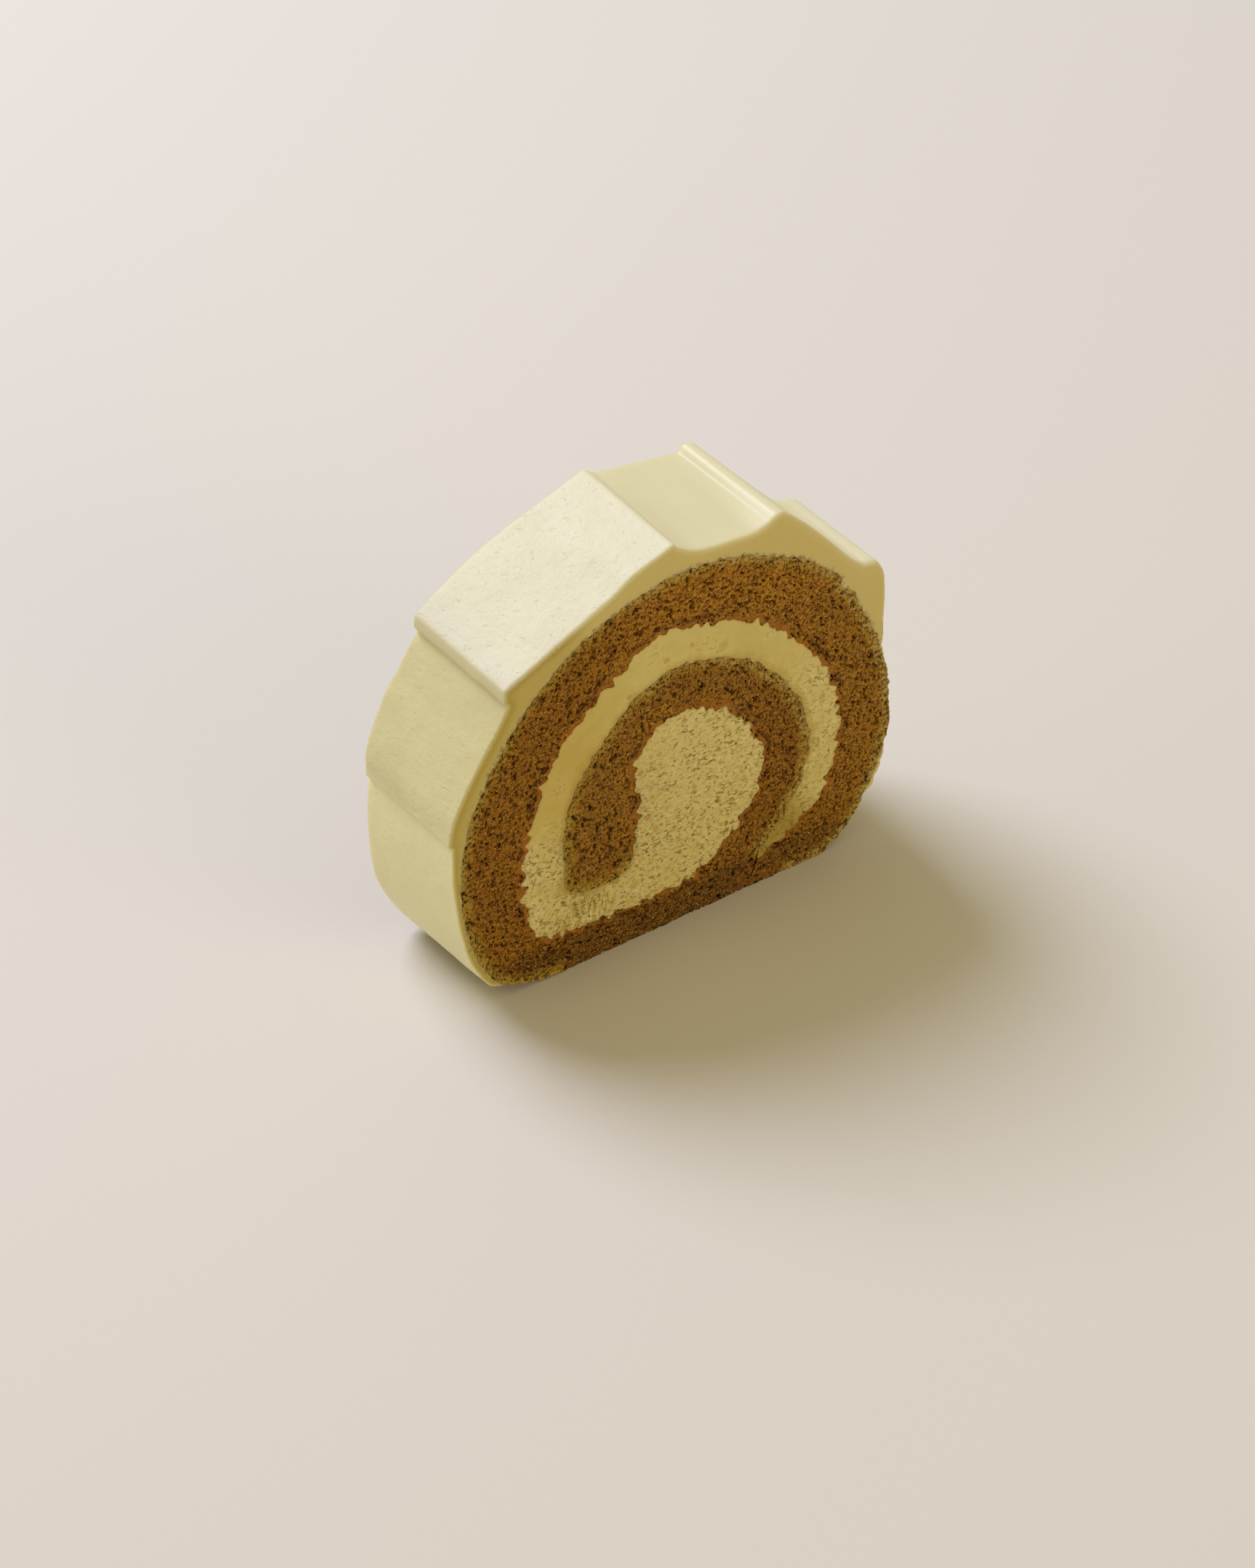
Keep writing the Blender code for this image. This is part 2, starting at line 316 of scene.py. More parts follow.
def as_torn(part, depth):
    """A stretch's own points at one depth, once it is torn."""
    stray = tear(part["ragged"], part["flaked"], part["run"],
                 np.full(len(part["run"]), depth))
    return part["front"] + part["lean"] * stray[:, None]


def places(edge, run, depth):
    """Where points of an edge lie, at a run round it and a depth behind the front."""
    def at(values):
        return np.interp(run, edge["round"], values)
    share = depth / SLICE_THICKNESS
    across = at(edge["front"][:, 0]) * (1 - share) + at(edge["back"][:, 0]) * share
    up = at(edge["front"][:, 1]) * (1 - share) + at(edge["back"][:, 1]) * share
    torn = tear(at(edge["ragged"]), at(edge["flaked"]), at(edge["run"]), depth)
    spread = at(edge["grain"]) * knife_drag.layers(
        run, depth * 0.6, (7.0, 0.16), (2.4, 0.05), (1.1, 0.035))
    rim = np.maximum(at(edge["rim"]), HAIR)
    near_cut = np.clip(1 - np.minimum(depth, SLICE_THICKNESS - depth) / rim, 0.0, 1.0)
    rounding = rim * (1 - np.sqrt(1 - near_cut ** 2))
    out = torn + spread - rounding
    sway = at(edge["sway"]) * coat_sway.layers(depth, 3.0, (9.0, 0.9), (3.1, 0.5))
    across = across + at(edge["lean"][:, 0]) * out
    up = up + at(edge["lean"][:, 1]) * out + sway
    return across, np.maximum(up, 0.0)


def close(edge):
    """The edge as a ring: its first point again at the end, and the run round it."""
    ring = {name: np.concatenate([values, values[:1]]) for name, values in edge.items()}
    ring["round"] = run_along((ring["front"] + ring["back"]) / 2)
    ring["round"] += np.arange(len(ring["round"])) * 1e-7
    return ring


def tree_of(points):
    """A tree that finds the nearest of some points, flat ones or not."""
    tree = KDTree(len(points))
    for i, point in enumerate(points):
        tree.insert((*point, 0.0)[:3], i)
    tree.balance()
    return tree


def fill_outline(outline, step, inner_lines=(), wanted=None, seed=1):
    """Triangles that fill a closed outline, with points inside it about a step apart."""
    outline = np.asarray(outline)
    low = outline.min(0)
    high = outline.max(0)
    columns = np.arange(low[0], high[0], step)
    rows = np.arange(low[1], high[1], step * ROW_SPACING)
    grid_u, grid_v = np.meshgrid(columns, rows)
    grid_u = grid_u + step / 2 * (np.arange(len(rows)) % 2)[:, None]
    inside = np.stack([grid_u.ravel(), grid_v.ravel()], 1)
    draw = np.random.default_rng(seed)
    inside += draw.uniform(-POINT_JITTER, POINT_JITTER, inside.shape) * step
    if wanted is not None:
        inside = inside[wanted(inside[:, 0], inside[:, 1])]
    fixed = [outline] + [np.asarray(line) for line in inner_lines]
    tree = tree_of(np.vstack(fixed))
    clear = [tree.find((u, v, 0.0))[2] > CLEAR_OF_LINES * step for u, v in inside]
    inside = inside[clear]
    points = np.vstack(fixed + [inside])
    count = len(outline)
    edges = [(i, (i + 1) % count) for i in range(count)]
    start = count
    for line in inner_lines:
        edges += [(start + i, start + i + 1) for i in range(len(line) - 1)]
        start += len(line)
    made = delaunay_2d_cdt([Vector(p) for p in points.tolist()], edges, [], 1, 1e-5)
    return np.array([tuple(v) for v in made[0]]), np.array(made[2], dtype=int)


def turned_left(outline):
    """True where the outline runs anticlockwise."""
    ahead = np.roll(outline, -1, axis=0)
    return np.sum(outline[:, 0] * ahead[:, 1] - ahead[:, 0] * outline[:, 1]) > 0


def closed_body(edge, steps, creases=(), rows=()):
    """Points and triangles of a piece: two cut faces and the wall between them."""
    ring = close(edge)
    runs = ring["round"]
    front = np.stack(places(ring, runs[:-1], np.zeros(len(runs) - 1)), 1)
    back_runs = runs[:-1][::BACK_SKIP]
    back = np.stack(places(ring, back_runs, np.full(len(back_runs), SLICE_THICKNESS)), 1)
    front_points, front_faces = fill_outline(front, steps["front"], seed=2)
    back_points, back_faces = fill_outline(back, steps["back"], seed=3)

    foot = np.stack([runs, np.zeros(len(runs))], 1)
    top = np.append(back_runs, runs[-1])
    head = np.stack([top, np.full(len(top), SLICE_THICKNESS)], 1)[::-1]
    lines = []
    seen = runs[:-1][ring["open"][:-1] > 0.5]
    for row in rows:
        for depth in (row, SLICE_THICKNESS - row):
            lines.append(np.stack([seen, np.full(len(seen), depth)], 1))
    for crease in creases:
        first = max(rows, default=0.0) + steps["wall"]
        depths = np.arange(first, SLICE_THICKNESS - first + HAIR, steps["wall"])
        lines.append(np.stack([np.full(len(depths), crease), depths], 1))
    wall_uv, wall_faces = fill_outline(
        np.vstack([foot, head]), steps["wall"], lines,
        lambda u, v: np.interp(u, runs, ring["open"]) > 0.5, seed=4)
    wall_run = np.clip(wall_uv[:, 0], 0.0, runs[-1])
    wall_x, wall_z = places(ring, np.where(wall_run >= runs[-1] - HAIR, 0.0, wall_run),
                            wall_uv[:, 1])

    points = np.vstack([
        np.insert(front_points, 1, 0.0, axis=1),
        np.insert(back_points, 1, SLICE_THICKNESS, axis=1),
        np.stack([wall_x, wall_uv[:, 1], wall_z], 1)])
    shift = [0, len(front_points), len(front_points) + len(back_points)]
    if turned_left(front):
        wall_faces = wall_faces[:, ::-1]
    faces = np.vstack([front_faces + shift[0], back_faces[:, ::-1] + shift[1],
                       wall_faces + shift[2]])
    round_run = np.concatenate([np.full(shift[2], NOT_ON_WALL), wall_run])
    return weld(points, faces, round_run), ring


def weld(points, faces, round_run):
    """Joins points that lie together, and drops triangles and points not needed then."""
    tree = tree_of(points)
    same = np.array([min(hit[1] for hit in tree.find_range(point, SAME_PLACE))
                     for point in points])
    best_run = np.full(len(points), NOT_ON_WALL)
    np.maximum.at(best_run, same, round_run)
    faces = same[faces]
    whole = ((faces[:, 0] != faces[:, 1]) & (faces[:, 1] != faces[:, 2])
             & (faces[:, 2] != faces[:, 0]))
    used, faces = np.unique(faces[whole], return_inverse=True)
    return points[used], faces.reshape(-1, 3), best_run[used]


def close_chinks(mesh):
    """Fills the tiny open triangles left where an outline touches itself."""
    shape = bmesh.new()
    shape.from_mesh(mesh)
    chinks = [edge for edge in shape.edges if edge.is_boundary]
    filled = bmesh.ops.holes_fill(shape, edges=chinks, sides=12)
    bmesh.ops.triangulate(shape, faces=filled["faces"])
    shape.to_mesh(mesh)
    shape.free()


def put(name, data):
    """A new object in the scene, at the origin."""
    thing = bpy.data.objects.new(name, data)
    bpy.context.scene.collection.objects.link(thing)
    return thing


def read(items, name, width, kind=np.float32):
    """One property of all of a mesh's items, as rows of some width."""
    values = np.empty(len(items) * width, dtype=kind)
    items.foreach_get(name, values)
    return values.reshape(-1, width)


def make_mesh(name, points, faces, attributes, sharp_angle=70.0):
    """A mesh object in metres, in the part's own frame."""
    placed = (points - [CROSS_SECTION_MIDDLE, SLICE_THICKNESS / 2, 0.0]) * METRES
    mesh = bpy.data.meshes.new(name)
    mesh.from_pydata(placed.tolist(), [], faces.tolist())
    close_chinks(mesh)
    mesh.shade_smooth()
    mesh.set_sharp_from_angle(angle=math.radians(sharp_angle))
    for label, values in attributes.items():
        kind = "FLOAT_VECTOR" if values.ndim == 2 else "FLOAT"
        layer = mesh.attributes.new(label, kind, "POINT")
        layer.data.foreach_set("vector" if values.ndim == 2 else "value",
                               values.astype(np.float32).ravel())
    return put(name, mesh)


def nearest(points, line):
    """Distance to a line of points, and the number of the nearest one, for each point."""
    tree = tree_of(line)
    found = [tree.find((x, z, 0.0)) for x, z in points]
    return np.array([hit[2] for hit in found]), np.array([hit[1] for hit in found])


def within(points, outline):
    """True for each point that lies inside a closed outline."""
    result = np.zeros(len(points), dtype=bool)
    x, z = points.T
    for a, b in zip(outline, np.roll(outline, -1, axis=0)):
        crosses = (a[1] > z) != (b[1] > z)
        if crosses.any():
            meet = (b[0] - a[0]) * (z[crosses] - a[1]) / (b[1] - a[1]) + a[0]
            result[crosses] ^= x[crosses] < meet
    return result


def cut_faces(points):
    """Which points lie on the front cut face and which on the back one."""
    return points[:, 1] < 1e-4, points[:, 1] > SLICE_THICKNESS - 1e-4


def press_in(points, depth):
    """Moves the points of both cut faces into the cake by a depth."""
    front, back = cut_faces(points)
    moved = points.copy()
    moved[front, 1] += depth[front]
    moved[back, 1] -= depth[back]
    return moved


def marks(points, spots):
    """How strongly each point lies in one of some round spots, one at their middles."""
    strength = np.zeros(len(points))
    for x, z, radius in spots:
        away = np.hypot(points[:, 0] - x, points[:, 2] - z)
        strength = np.maximum(strength, np.clip(SPOT_REACH - away / radius, 0.0, 1.0))
    return strength


# Sponge

PORES = 2300
TEARS = 130
BACK_PORE_STRENGTH = 0.55
PORE_SMALLEST = 0.16
PORE_SPREAD = 0.18
PORE_RARITY = 2.4
PORE_LONGEST = 2.4
PORE_TURN = 0.35
TEAR_WIDTHS = (0.24, 0.38)
TEAR_LENGTHS = (1.8, 3.4)
KNOWN_TEAR_WIDTH = 0.42
SPOT_REACH = 1.3
CUT_DEPTH = 0.28
SHALLOWEST = 0.02
KNOWN_TEARS = [(-8.0, 68.4, 1.5), (3.5, 69.1, 1.1), (0.0, 51.5, 0.9), (6.0, 51.0, 1.3),
               (18.0, 43.0, 0.8), (26.0, 27.5, 0.9), (-13.0, 19.0, 1.4)]
BROWNED = [(17.8, 3.8, 1.3), (16.6, 1.2, 1.2), (14.8, 2.6, 0.9), (20.8, 1.0, 1.1),
           (24.6, 0.8, 1.0), (30.0, 1.2, 0.9), (28.0, 8.4, 0.8)]
SPONGE_STEPS = {"front": 0.28, "back": 0.52, "wall": 0.8}


def sponge_edge():
    """The strip of sponge, round its whole edge."""
    outer_foot = (SEAM_FOOT[0] + SEAM_SLIT, 0.0)
    end_face = stretch(straight(baked_line[-1], outer_foot), ragged=0.0, run=4000.0)
    base_right = stretch(straight(outer_foot, outside_line[-1]), open=1.0, run=5000.0)
    base = stretch(straight(BASE_LEFT, SEAM_FOOT), open=1.0, run=6000.0)
    seam = stretch(np.vstack([straight(SEAM_FOOT, SEAM_TOP),
                              straight(SEAM_TOP, soft_line[-1])[1:]]), run=7000.0)
    return join(baked, cut(end_face, 1, None), cut(base_right, 1, -1), reverse(outside),
                cut(base, 1, None), cut(seam, 1, None), cut(reverse(soft), 1, None),
                cut(reverse(tail), 1, -1))


def sheet_fields(flat, depth):
    """For points in the sponge: how far from the baked and soft sides, and which turn."""
    baked_side = as_torn(baked, depth)
    soft_side = np.vstack([as_torn(soft, depth), as_torn(tail, depth)])
    corner = int(np.argmin(np.hypot(*(baked_line - [-27.5, 9.5]).T)))
    inner_zone = np.vstack([soft_side[:len(soft_line)], [SEAM_TOP, SEAM_FOOT, BASE_LEFT],
                            [(-24.0, 9.0)], baked_side[:corner - 8][::-1],
                            soft_side[len(soft_line):]])
    inner = within(flat, inner_zone)
    near_inner, at_inner = nearest(flat, baked_side[:corner + 30])
    near_outer, at_outer = nearest(flat, baked_side[corner - 30:])
    from_skin = np.where(inner, near_inner, near_outer)
    at = np.where(inner, at_inner, at_outer + corner - 30)
    from_soft, _ = nearest(flat, soft_side)
    from_outside, _ = nearest(flat, as_torn(outside, depth))
    return {"inner": inner, "from_skin": from_skin, "at": at,
            "from_edge": np.where(inner, from_soft, from_outside)}


def for_both_halves(points, measure):
    """A measure of points across and up, taken for the front half and for the back."""
    front = points[:, 1] < SLICE_THICKNESS / 2
    result = {}
    for half, depth in ((front, 0.0), (~front, SLICE_THICKNESS)):
        for name, values in measure(points[half][:, [0, 2]], depth).items():
            whole = result.setdefault(name, np.zeros(len(points), dtype=values.dtype))
            whole[half] = values
    return result


def scatter_pores(points, fields, seed):
    """How deep in a pore each point of the cut faces is, from 0 at its rim to 1."""
    front, back = cut_faces(points)
    travel = np.gradient(baked_line, axis=0)
    angle = np.arctan2(travel[:, 1], travel[:, 0])[fields["at"]]
    pore = np.zeros(len(points))
    draw = np.random.default_rng(seed)
    for face, strength in ((front, 1.0), (back, BACK_PORE_STRENGTH)):
        numbers = np.flatnonzero(face)
        flat = points[numbers][:, [0, 2]]
        tree = tree_of(flat)
        holes = []
        for centre in draw.choice(len(numbers), PORES):
            half_width = PORE_SMALLEST + PORE_SPREAD * draw.random() ** PORE_RARITY
            half_length = half_width * draw.uniform(1.0, PORE_LONGEST)
            holes.append((flat[centre], half_width, half_length))
        for centre in draw.choice(len(numbers), TEARS):
            half_width = draw.uniform(*TEAR_WIDTHS)
            holes.append((flat[centre], half_width, half_width * draw.uniform(*TEAR_LENGTHS)))
        holes += [(np.array([x, z]), KNOWN_TEAR_WIDTH, half) for x, z, half in KNOWN_TEARS]
        for centre, half_width, half_length in holes:
            hits = tree.find_range((centre[0], centre[1], 0.0), half_length * 1.1)
            if not hits:
                continue
            local = np.array([hit[1] for hit in hits])
            lean = angle[numbers[local[0]]] + draw.normal(0.0, PORE_TURN)
            offset = flat[local] - centre
            along = (offset[:, 0] * math.cos(lean) + offset[:, 1] * math.sin(lean))
            aside = (-offset[:, 0] * math.sin(lean) + offset[:, 1] * math.cos(lean))
            inside = 1 - np.sqrt((along / half_length) ** 2 + (aside / half_width) ** 2)
            chosen = numbers[local]
            inside = strength * np.clip(inside, 0.0, 1.0)
            pore[chosen] = np.maximum(pore[chosen], inside)
    return pore


def make_sponge():
    (points, faces, _), _ = closed_body(sponge_edge(), SPONGE_STEPS)
    fields = for_both_halves(points, sheet_fields)
    pore = scatter_pores(points, fields, seed=21)
    x, y, z = points.T
    sway = y * 3.0
    depth = CUT_DEPTH + crumb_hills.layers(x, z + sway, (6.0, 0.18), (1.9, 0.12), (0.85, 0.10))
    depth *= gentle(-0.4, 1.2, fields["from_edge"])
    depth += np.clip(pore * 2.4, 0.0, 1.0) * (0.30 + 0.55 * pore)
    moved = press_in(points, np.maximum(depth, SHALLOWEST))
    return make_mesh("sponge_crumb", moved, faces, {
        "from_skin": fields["from_skin"],
        "from_edge": fields["from_edge"],
        "inner_turn": fields["inner"].astype(float),
        "pore": pore,
        "browned": marks(points, BROWNED),
        "height": z,
        "across": x})


# Filling

FILLING_STEPS = {"front": 0.34, "back": 0.5, "wall": 2.0}
DRAG_CENTRE = np.array([-16.0, 31.0])
FAN_WIDTH = 24.0
STREAKS = (-20.3, 11.9)
ORANGE_FLECKS = [(-2.0, 60.0, 0.8), (3.5, 61.0, 0.6), (-10.0, 55.5, 0.7), (2.0, 45.0, 0.7),
                 (-7.5, 37.5, 0.8), (-6.0, 27.0, 0.9), (-5.0, 31.0, 0.6), (-4.2, 23.5, 0.8)]
OLIVE_PATCHES = [(-25.0, 18.5, 1.6), (-22.0, 16.4, 1.0), (-9.0, 12.6, 1.2), (10.5, 58.0, 1.4),
                 (-20.5, 44.5, 1.5), (33.0, 37.0, 1.0), (31.5, 27.5, 1.1)]


def filling_edge():
    """The cream between the turns, meeting the sponge all round."""
    tip = stretch(np.array([[18.95, 6.0]]))
    return join(reverse(baked), cut(tail, 1, -1), soft, tip)


def cream_tornness(x, z):
    """Where the knife tore the cream, from 0 for smooth to 1 for torn."""
    core = gentle(25.0, 18.0, np.hypot(x - 4.0, (z - 26.0) * 0.9))
    smooth_top = gentle(33.0, 43.0, z) * gentle(8.0, -4.0, x)
    low_left = gentle(40.0, 26.0, z) * gentle(-12.0, -22.0, x)
    foot = gentle(18.0, 13.0, z)
    right = 0.55 * gentle(22.0, 28.0, x) * gentle(54.0, 44.0, z)
    return np.clip(np.maximum.reduce([core * (1 - 0.45 * smooth_top), low_left, foot, right]),
                   0.06, 1.0)


def cream_fields(flat, depth):
    """How far points of the cream are from the sponge, and from its unbaked side."""
    soft_side = np.vstack([as_torn(soft, depth), as_torn(tail, depth)])
    from_soft, _ = nearest(flat, soft_side)
    from_baked, _ = nearest(flat, as_torn(baked, depth))
    return {"from_sponge": np.minimum(from_soft, from_baked), "from_soft": from_soft}


def make_filling():
    (points, faces, _), _ = closed_body(filling_edge(), FILLING_STEPS)
    x, y, z = points.T
    torn = cream_tornness(x, z)
    torn *= 0.62 + 0.38 * gentle(-0.25, 0.25, cream_hills.hills(x + 60.0, z + y, 4.5))
    away = points[:, [0, 2]] - DRAG_CENTRE
    radius = np.hypot(*away.T)
    turn = np.arctan2(away[:, 0], -away[:, 1]) * FAN_WIDTH
    streak = gentle(6.8, 3.4, np.hypot((x - STREAKS[0]) * 0.75, (z - STREAKS[1]) * 1.3))
    drag = cream_hills.layers(turn + y * 5.0, radius * 0.4, (1.1, 0.6), (0.55, 0.4))
    drawn = cream_hills.layers(turn + y * 5.0, radius * 0.16, (0.9, 0.7), (0.5, 0.5))
    lumps = cream_hills.layers(x + y * 5.0, z, (1.3, 0.6), (0.6, 0.6))
    pits = gentle(0.30, 0.62, cream_hills.layers(x * 0.9 + z * 0.2, z * 1.2 + y, (1.15, 0.8),
                                                 (0.6, 0.5)))
    depth = 0.16 + cream_hills.layers(x, z + y, (9.0, 0.10), (3.5, 0.06))
    depth += torn * (0.14 * drag + 0.18 * lumps + 0.38 * pits) + streak * 0.50 * drawn
    moved = press_in(points, np.maximum(depth, SHALLOWEST))
    fields = for_both_halves(points, cream_fields)
    from_sponge = fields["from_sponge"]
    from_soft = fields["from_soft"]
    front, _ = cut_faces(points)
    return make_mesh("filling_cream", moved, faces, {
        "from_sponge": from_sponge,
        "from_soft": from_soft,
        "torn": np.maximum(torn, streak),
        "streak": streak,
        # Where the finish paints shade into the cream's pits and drawn grooves.
        "pit": np.maximum(pits * torn, streak * gentle(0.15, 0.6, drawn)),
        "fleck": marks(points, ORANGE_FLECKS) * front,
        "olive": marks(points, OLIVE_PATCHES) * front,
        "wedge": gentle(18.0, 9.0, np.hypot(x - SEAM_TOP[0], z - SEAM_TOP[1])) * (x > 17.0),
        "across": x,
        "drag": np.stack([turn, radius, y], 1)})


# Coat

COAT_STEPS = {"front": 0.36, "back": 0.5, "wall": 0.42}
ROUNDING_ROWS = (0.12, 0.32, 0.62, 1.0)
SKIN_OF_COAT = 0.12
COAT_SWELL = 0.8
COAT_SWELL_START = 0.62
CREASE_SPACING = 0.1


def knife_strokes():
    """The strokes end to end: points in front, points behind, finishes and corners."""
    front, back, finish, corners = [], [], [], [0]
    for front_points, back_points, *ways in KNIFE_STROKES:
        line = smooth_curve(front_points)
        share = np.linspace(0.0, 1.0, len(line))
        behind = smooth_curve(back_points)
        place = run_along(behind) / run_along(behind)[-1]
        behind = np.stack([np.interp(share, place, behind[:, k]) for k in (0, 1)], 1)
        front.append(line[:-1])
        back.append(behind[:-1])
        finish.append(np.repeat([ways], len(line) - 1, axis=0))
        corners.append(corners[-1] + len(line) - 1)
    front.append(line[-1:])
    back.append(behind[-1:])
    finish.append([ways])
    return np.vstack(front), np.vstack(back), np.vstack(finish), corners


def softened(values, reach):
    """The same row of values with its corners rounded over a number of points."""
    place = np.arange(-3 * reach, 3 * reach + 1)
    weight = np.exp(-0.5 * (place / reach) ** 2)
    weight /= weight.sum()
    padded = np.pad(values, ((3 * reach, 3 * reach), (0, 0)), mode="edge")
    return np.stack([np.convolve(padded[:, k], weight, mode="valid")
                     for k in range(values.shape[1])], 1)


def rounded_corners(line, finish):
    """Corners get a crisp small rounding, and shiny wet strokes a wider one."""
    crisp = softened(line, 1)
    wide = softened(line, 4)
    share = gentle(0.5, 1.0, softened(finish[:, 2:3], 3))
    ends = faded(len(line), 4)[:, None]
    return line * (1 - ends) + (crisp * (1 - share) + wide * share) * ends


def coat_limits():
    """Where along the outside the coat starts, where it thins and where it ends."""
    start = int(np.argmax(outside_line[:, 0] < COAT_START_ON_LEFT))
    half = len(outside_line) // 2
    heights = outside_line[half:, 1]
    right = np.flatnonzero((heights > COAT_END_ON_RIGHT) & (heights < STROKE_END_ON_RIGHT))
    return start, half + right[0], half + right[-1]


def coat_edge():
    """The coat of icing: knife strokes outside, the cake's own outline inside."""
    start, thin_start, end = coat_limits()
    front, back, finish, corners = knife_strokes()
    place = np.arange(len(front))
    ledge = gentle(9.0, 0.0, np.abs(place - corners[LEDGE]))
    slab = gentle(7.0, 0.0, np.abs(place - corners[SLAB]))
    white, grain, shine, rim = (softened(finish[:, k:k + 1], 3)[:, 0] for k in range(4))
    strokes = stretch(rounded_corners(front, finish), rounded_corners(back, finish),
                      white=white, grain=grain, shine=shine, rim=rim,
                      sway=0.5 * ledge + 0.32 * slab, open=1.0)
    thin = outside_line[thin_start:end + 1]
    normals = left_normals(thin)
    fall = np.linspace(0.0, 1.0, len(thin))[:, None]
    patchy = 0.25 * np.sin(fall * 31.0) * np.sin(fall * 13.0)
    swell = COAT_SWELL * gentle(COAT_SWELL_START, 0.8, fall)
    front_coat = np.where(fall < COAT_SWELL_START, SKIN_OF_COAT, SKIN_OF_COAT + swell)
    back_coat = THICK_COAT + patchy * 0.6
    closing = np.maximum(gentle(1.0, 0.93, fall), 0.15)
    opening = gentle(0.0, 0.06, fall)
    front_coat = front_coat * opening + THIN_COAT * (1 - opening)
    run_out = stretch(thin + normals * front_coat * closing,
                      thin + normals * back_coat * closing,
                      white=0.15, grain=0.0, rim=0.08, open=1.0)
    for name in ("ragged", "run", "lean"):
        run_out[name] = outside[name][thin_start:end + 1]
    inner = reverse(cut(outside, start, end + 1))
    inner["open"] = inner["open"] * 0.0
    return join(strokes, run_out, inner), corners


def make_coat():
    edge, corners = coat_edge()
    runs = close(edge)["round"]
    creases = sorted({float(runs[at + shift]) for at in corners[1:] for shift in (-1, 0, 1)})
    creases = [run for before, run in zip([NOT_ON_WALL] + creases, creases)
               if run - before > CREASE_SPACING]
    (points, faces, run), ring = closed_body(edge, COAT_STEPS, creases, ROUNDING_ROWS)
    front, back = cut_faces(points)
    x, y, z = points.T
    from_cake, _ = nearest(points[:, [0, 2]], outside_line)
    depth = 0.05 + cream_hills.layers(x * 1.3, z * 1.3 + y, (6.0, 0.06), (1.6, 0.04))
    smeared = gentle(1.6, 0.2, from_cake)
    depth += smeared * cream_hills.layers(x, z + y, (1.5, 0.10), (0.7, 0.08))
    moved = press_in(points, np.maximum(depth, 0.01))
    seen = ring["open"][:-1] > 0.5
    from_rim, _ = nearest(points[:, [0, 2]], ring["front"][:-1][seen])
    reach = np.interp(run, ring["round"], ring["rim"]) * 0.9 + 0.05
    to_cut = np.minimum(y, SLICE_THICKNESS - y)
    on_cut = np.where(front | back, 1.0, np.clip(1 - to_cut / reach, 0.0, 1.0))

    def finish(name):
        value = np.interp(run, ring["round"], ring[name])
        return np.where(run >= 0.0, value, 0.0)

    return make_mesh("icing_coat", moved, faces, {
        "white": finish("white"),
        "shine": finish("shine"),
        "grainy": finish("grain"),
        "from_cake": from_cake,
        "from_rim": from_rim,
        "across": x,
        "height": z,
        "on_cut": on_cut}, sharp_angle=50.0)


# Finishes

class Amount:
    """A number that varies over a surface, written as plain arithmetic."""

    def __init__(self, recipe, socket):
        self.recipe = recipe
        self.socket = socket

    def __add__(self, other):
        return self.recipe.sum("ADD", self, other)

    def __radd__(self, other):
        return self.recipe.sum("ADD", other, self)

    def __sub__(self, other):
        return self.recipe.sum("SUBTRACT", self, other)

    def __rsub__(self, other):
        return self.recipe.sum("SUBTRACT", other, self)

    def __mul__(self, other):
        return self.recipe.sum("MULTIPLY", self, other)

    def __rmul__(self, other):
        return self.recipe.sum("MULTIPLY", other, self)

    def swing(self, reach):
        """A noise moved to lie about nought, and spread over a reach."""
        return (self - 0.5) * reach


def feed(tree, socket, value):
    """Gives a socket a value, or a link to the socket that the value comes from."""
    if isinstance(value, Amount):
        value = value.socket
    if isinstance(value, bpy.types.NodeSocket):
        tree.links.new(value, socket)
    elif isinstance(value, tuple) and len(value) == 3 and socket.type == "RGBA":
        socket.default_value = (*value, 1.0)
    else:
        socket.default_value = value


def add_node(tree, kind, settings=None, sockets=None):
    """Adds a node: its settings first, then its sockets' values or links."""
    node = tree.nodes.new(kind)
    for name, value in (settings or {}).items():
        setattr(node, name, value)
    for name, value in (sockets or {}).items():
        feed(tree, node.inputs[name], value)
    return node


